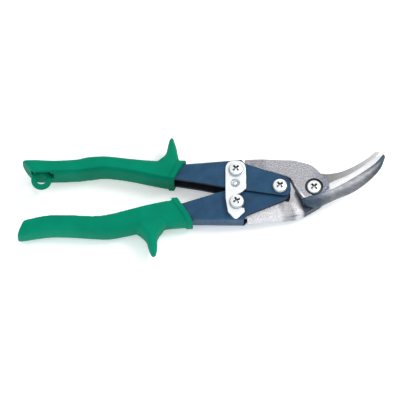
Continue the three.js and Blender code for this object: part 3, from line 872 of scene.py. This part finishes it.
def rear_blade():
    body = prism(rounded([
        (-21.5, -11.9, 1), (-21.5, -19.6, 1), (-11.5, -18.3, 8), (-5, -15.4, 8), (4, -9.8, 8),
        (9.5, -3, 5), (11, 6, 3), (8, 12, 3), (1, 12.4, 6), (-7, 7.8, 6), (-12.4, -1, 4),
        (-13.4, -8, 4)]),
        BLADE_BACK, SHEAR_BACK, "forging")
    tang = ramp_block([
        (-63, TANG_BACK), (-63, TANG_FRONT), (-21, TANG_FRONT), (-19, 8.05), (-15.6, 7.3), (-13.8, 7.1),
        (-10.2, 7.0), (-9.4, 6.6), (-6.4, 5.1), (-6.4, TANG_BACK)], -30, 0)
    tang_outline = rounded([
        (-56.2, -6, 6.2), (-56.2, -18.7, 6.2), (-43.2, -18.7, 0.4), (-43, -22.4, 1), (-20.5, -19.8, 30),
        (-6.4, -16.4, 1), (-6.4, -13.8, 1), (-9.6, -13.4, 1), (-12.4, -9.9, 2), (-27, -7.6, 20),
        (-40, -6.4, 20)])
    combine(tang, [prism(tang_outline, 0, 12)], "INTERSECT")
    soften_edges(tang, 0.45, 3, 30)
    jaw, kinds = make_jaw(
        [(-3, -2, SHEAR_BACK), (8, 3, SHEAR_BACK), (18, 6.8, SHEAR_BACK), (27, 12, SHEAR_BACK),
         (35, 18.6, SHEAR_BACK), (40.4, 24.2, SHEAR_BACK), (43, 27, SHEAR_BACK)],
        [(1, 12, SHEAR_BACK), (9, 12, SHEAR_BACK), (18, 13.7, SHEAR_BACK), (27, 18, SHEAR_BACK),
         (35, 23.3, SHEAR_BACK), (40, 27.6, SHEAR_BACK), (42.6, 28.2, SHEAR_BACK)],
        [(-3, 6, 0.2), (8, 8, 0.4), (18, 10.6, 0.8), (27, 15.2, 1.2), (35, 21, 2), (40.2, 25.8, 3.4),
         (42.8, 27.6, 4.8)], swell=(0.3, 0.3), heel=0.0)
    kind_at = jaw_kinds(jaw, kinds)
    combine(body, [tang, jaw])
    cut(body, blade_holes(LOWER_LINK, BLADE_BACK, SHEAR_BACK))
    looks = {STRIP: 1, SLOPE: 2, SHEAR: 2, None: 0}
    finish(body, "rear_blade_steel", REAR_BLADE, ["rear_blade"],
           [rear_forged_painted_light, rear_ground_with_shade, jaw_oxide_and_shade], choose=lambda face: looks[kind_at(face.center)])


front_blade()
rear_blade()


# ---- latch ----

def latch():
    outline = rounded([
        (-56.9, 17.1, 6.3), (-43.8, 17.1, 6.3), (-43.6, -2.4, 2.5), (-46.8, -5.4, 1),
        (-52.4, -8.2, 1.6), (LOWER_LINK.x - 3.2, LOWER_LINK.y - 2, 2),
        (LOWER_LINK.x - 1.6, LOWER_LINK.y - 3.1, 0.4),
        (-45, -16.4, 0.6), (-44.6, -18.8, 0.8), (-50.4, -24.4, 2.5), (-55.4, -19, 3), (-56.9, -9, 4)])
    sheet = plate([outline, circle(UPPER_LINK, LINK_BORE)], LATCH_BACK, LATCH_FRONT, 0.3, "latch")
    dimple = Vector((-50.6, 1.2))
    moat = turned(dimple, [(0, LATCH_FRONT + 1), (3.0, LATCH_FRONT + 1), (3.0, LATCH_FRONT - 0.02),
                           (2.7, LATCH_FRONT - 0.4), (2.2, LATCH_FRONT - 0.8), (0, LATCH_FRONT - 0.9)])
    cut(sheet, [moat])
    pip = turned(dimple, [(0, LATCH_FRONT + 0.35), (0.7, LATCH_FRONT + 0.25), (1.2, LATCH_FRONT),
                          (1.6, LATCH_FRONT - 0.5), (1.9, LATCH_FRONT - 1.0), (0, LATCH_FRONT - 1.1)])
    combine(sheet, [pip])

    # Faces in the dimple's moat get darker zinc as painted shade.
    def in_moat(face):
        offset = (face.center.xy - dimple).length
        return 1.25 < offset < 3.0 and face.center.z < LATCH_FRONT - 0.05

    finish(sheet, "latch_plate", LATCH_BODY, ["latch"], [zinc, zinc_painted_shade], choose=in_moat)


latch()


# ---- bolts, nuts and washers ----

HEAD_RADIUS, HEAD_HEIGHT = 4.75, 2.5
THREAD_RADIUS, THREAD_PITCH = 2.4, 0.8
MAIN_SHANK = 3.9


def cross_recess(centre, top, turn):
    """A tapered cross recess, to be cut out of a screw head."""
    rings = []
    for level, wing, half in [(top - 2.0, 1.3, 0.40), (top + 0.6, 2.9, 0.78)]:
        ring = []
        for quarter in range(4):
            spin = Matrix.Rotation(math.radians(turn + 90 * quarter), 2)
            for corner in [(wing, -half), (wing, half), (half, half)]:
                ring.append((*(spin @ Vector(corner) + centre), level))
        rings.append(ring)
    return skin(rings, "recess")


def thread(radius, low, high):
    """The profile of a threaded stretch, from low to high, with a chamfered end."""
    crest = [(0.0, low), (radius - 0.5, low), (radius - 0.1, low + 0.4)]
    level = low + 0.4
    while level + THREAD_PITCH < high:
        crest += [(radius - 0.45, level + 0.3 * THREAD_PITCH), (radius, level + 0.7 * THREAD_PITCH),
                  (radius, level + 0.8 * THREAD_PITCH)]
        level += THREAD_PITCH
    return crest


def pan_head(back):
    """The profile of a low pan head, from its rim to its middle."""
    return [(HEAD_RADIUS - 0.2, back), (HEAD_RADIUS, back + 0.2), (HEAD_RADIUS, back + 0.8),
            (HEAD_RADIUS - 0.15, back + 1.4), (HEAD_RADIUS - 0.6, back + 1.95), (3.2, back + 2.3),
            (1.6, back + 2.48), (0.0, back + 2.55)]


def make_bolt(node, centre, body, profile, head_top, turn):
    piece = turned(centre, profile, 72, node)
    cut(piece, [cross_recess(centre, head_top, turn)])

    def look_of(face):
        from_axis = (face.center.xy - centre).length
        # The cross recess gets near-black painted shade.
        if from_axis < 2.9 and head_top - 2.2 < face.center.z < head_top - 0.1 and face.normal.z < 0.93:
            return 1
        # The head's rim sides get darker zinc as painted shade.
        return 2 if from_axis > HEAD_RADIUS - 0.4 and face.normal.z < 0.75 else 0

    return finish(piece, node + "_screw", body, [node], [zinc, painted_recess_shade, zinc_painted_shade],
                  sharp=30, choose=look_of)


def make_nut(node, centre, body, flats, bore, back, front):
    corner = flats / math.sqrt(3)
    chamfer = corner - flats / 2 + 0.2
    drop = chamfer * 0.5
    piece = prism(circle(centre, corner, 6), back, front, node)
    barrel = turned(centre, [(0, back), (corner - chamfer, back), (corner + 0.05, back + drop),
                             (corner + 0.05, front - drop), (corner - chamfer, front), (0, front)], 72)
    combine(piece, [barrel], "INTERSECT")
    hole = turned(centre, [(0, back - 1), (bore + 1.4, back - 1), (bore, back + 0.4),
                           (bore, front - 0.4), (bore + 1.4, front + 1), (0, front + 1)], 48)
    cut(piece, [hole])
    return finish(piece, node + "_hex", body, [node], [zinc], sharp=30)


def make_ring(node, centre, body, bore, outer, back, front, slot, material, rim=0.2):
    profile = [(bore, back + rim), (bore + rim, back), (outer - rim, back), (outer, back + rim),
               (outer, front - rim), (outer - rim, front), (bore + rim, front), (bore, front - rim)]
    return finish(turned(centre, profile, 72, node), node + "_ring", body, [node], [material],
                  sharp=30)


def make_fasteners():
    for node, centre, body, shank, neck, turn in [
            ("upper_link_bolt", UPPER_LINK, UPPER_HANDLE, 2.9, 2.9, 42),
            ("lower_link_bolt", LOWER_LINK, LOWER_HANDLE, 2.9, 2.1, 28),
            ("handle_pivot_bolt", HANDLE_PIVOT, UPPER_HANDLE, 2.6, 2.6, 40)]:
        low, high = levels_of(node)
        head_back = high - HEAD_HEIGHT
        start = SHEET if node == "upper_link_bolt" else LOWER_BACK + SHEET
        neck_back = LOWER_BACK + CHANNEL
        profile = [*thread(THREAD_RADIUS, low, start - SHEET), (THREAD_RADIUS, start - SHEET),
                   (shank, start - SHEET + 0.2), (shank, neck_back), (neck, neck_back + 0.15),
                   (neck, head_back), *pan_head(head_back)]
        make_bolt(node, centre, body, profile, high, turn)
    low, high = levels_of("main_pivot_bolt")
    back = high - HEAD_HEIGHT + 0.3
    profile = [*thread(MAIN_SHANK, low, BLADE_BACK - 0.8), (MAIN_SHANK, BLADE_BACK), (MAIN_SHANK, back),
               *pan_head(back)[:-3], (3.2, high - 0.15), (1.6, high + 0.02), (0.0, high + 0.08)]
    make_bolt("main_pivot_bolt", MAIN_PIVOT, FRONT_BLADE, profile, high, 45)
    for node, centre, body in [("upper_link_nut", UPPER_LINK, UPPER_HANDLE),
                               ("lower_link_nut", LOWER_LINK, LOWER_HANDLE),
                               ("handle_pivot_nut", HANDLE_PIVOT, UPPER_HANDLE)]:
        make_nut(node, centre, body, 8, THREAD_RADIUS + 0.05, *levels_of(node))
    make_nut("main_pivot_nut", MAIN_PIVOT, FRONT_BLADE, 11, MAIN_SHANK + 0.05,
             *levels_of("main_pivot_nut"))
    for node, centre, bore, outer in [("upper_link_washer", UPPER_LINK, LINK_BORE, 5.0),
                                      ("lower_link_washer", LOWER_LINK, LINK_BORE, 5.0),
                                      ("main_pivot_washer", MAIN_PIVOT, MAIN_BORE, 6.6)]:
        body = REAR_BLADE if centre is LOWER_LINK else FRONT_BLADE
        make_ring(node, centre, body, bore, outer, *levels_of(node), "zinc_plate", zinc)
    make_ring("handle_pivot_bushing", HANDLE_PIVOT, UPPER_HANDLE, 2.8, 4.0,
              *levels_of("handle_pivot_bushing"), "spring_steel", spring_steel)


make_fasteners()


# ---- opening spring ----

def opening_spring():
    """A torsion spring: the coil stays on the handle pivot, and its two legs are hung on no body."""
    radius, coil, turns, pitch, leg = 0.6, 4.9, 2.5, 1.5, 13.0
    top = (TANG_BACK + TANG_FRONT + turns * pitch) / 2
    bottom = top - turns * pitch
    x, y = HANDLE_PIVOT

    def on_coil(turn):
        angle = math.radians(90 - 360 * turn)
        return (x + coil * math.cos(angle), y + coil * math.sin(angle), top - pitch * turn)

    def straight(side, level):
        return [(x - leg * (1 - k / 10), y + side * coil, level) for k in range(10)]

    overlap = 0.16                  # turns of the coil that the lower leg's piece repeats
    count = 120
    last_stretch = [on_coil(turns - overlap * (1 - k / 12)) for k in range(12)]
    for name, path, body in [
            ("spring_coil", [on_coil(turns * k / count) for k in range(count + 1)], UPPER_HANDLE),
            ("spring_upper_leg", straight(1, top) + [on_coil(0)], None),
            ("spring_lower_leg", last_stretch + straight(-1, bottom)[::-1], None)]:
        wire = tube(path, radius if body else radius * 1.02, 16, name)
        wire.data.materials.append(spring_steel)
        wire.data.shade_smooth()
        wire.data.transform(TO_ROW)
        wire.data.name = name
        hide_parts("opening_spring")
        if body:
            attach(wire, body)

    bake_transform(bpy.data.objects["spring_upper_leg"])
    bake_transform(bpy.data.objects["spring_lower_leg"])


opening_spring()


# ---- stage, light and camera ----

def stage():
    floor_mesh = bpy.data.meshes.new("floor")
    half = 1.5
    floor_mesh.from_pydata([(-half, -half, 0), (half, -half, 0), (half, half, 0), (-half, half, 0)], [],
                           [(0, 1, 2, 3)])
    floor = new_object("floor", floor_mesh)
    white = bpy.data.materials.new("white_sweep")
    white.use_nodes = True
    shader = white.node_tree.nodes["Principled BSDF"]
    shader.inputs["Base Color"].default_value = (0.95, 0.95, 0.95, 1)
    shader.inputs["Roughness"].default_value = 0.9
    shader.inputs["Specular IOR Level"].default_value = 0.1
    shader.inputs["Emission Color"].default_value = (1, 1, 1, 1)
    shader.inputs["Emission Strength"].default_value = 0.28
    floor.data.materials.append(white)


def softbox(name, position, size, power, tint=(1, 1, 1)):
    light = bpy.data.lights.new(name, "AREA")
    light.shape = "RECTANGLE"
    light.size, light.size_y = size
    light.energy = power
    light.color = tint
    lamp = bpy.data.objects.new(name, light)
    lamp.location = position
    lamp.rotation_euler = (-Vector(position)).to_track_quat("-Z", "Y").to_euler()
    bpy.context.scene.collection.objects.link(lamp)


def studio():
    world = bpy.data.worlds.new("studio")
    world.use_nodes = True
    nodes, links = world.node_tree.nodes, world.node_tree.links
    background = nodes["Background"]
    direction = nodes.new("ShaderNodeTexCoord").outputs["Generated"]
    height = nodes.new("ShaderNodeSeparateXYZ")
    links.new(direction, height.inputs["Vector"])
    dome = ramp(nodes, links, height.outputs["Z"],
                [(0.0, grey(0.55)), (0.25, grey(0.62)), (0.6, grey(0.82)), (1.0, grey(1.0))])
    links.new(dome, background.inputs["Color"])
    background.inputs["Strength"].default_value = 0.95
    bpy.context.scene.world = world
    softbox("key", (0.85, 0.25, 1.25), (0.55, 0.55), 11.0)
    softbox("front_card", (-0.3, -1.2, 0.55), (1.1, 0.5), 5.0, (0.50, 0.82, 1.0))
    softbox("back_card", (0.1, 1.25, 0.5), (1.0, 0.4), 1.8)
    softbox("left_card", (-1.25, -0.35, 0.45), (0.6, 0.5), 1.6)
    bpy.context.scene.view_settings.view_transform = "Standard"


def camera():
    """Looks from the front, 65 degrees above the surface, through a long lens."""
    elevation = math.radians(65)
    lens, sensor = 300.0, 36.0
    view_width = 0.2568
    distance = view_width * lens / sensor
    target = TO_ROW @ Vector((-73.2, -7.0, 6.0))
    eye = bpy.data.cameras.new("camera")
    eye.lens = lens
    eye.sensor_width = sensor
    seat = bpy.data.objects.new("camera", eye)
    seat.location = target + distance * Vector((0, -math.cos(elevation), math.sin(elevation)))
    seat.rotation_euler = (math.pi / 2 - elevation, 0, 0)
    bpy.context.scene.collection.objects.link(seat)
    bpy.context.scene.camera = seat


stage()
studio()
camera()
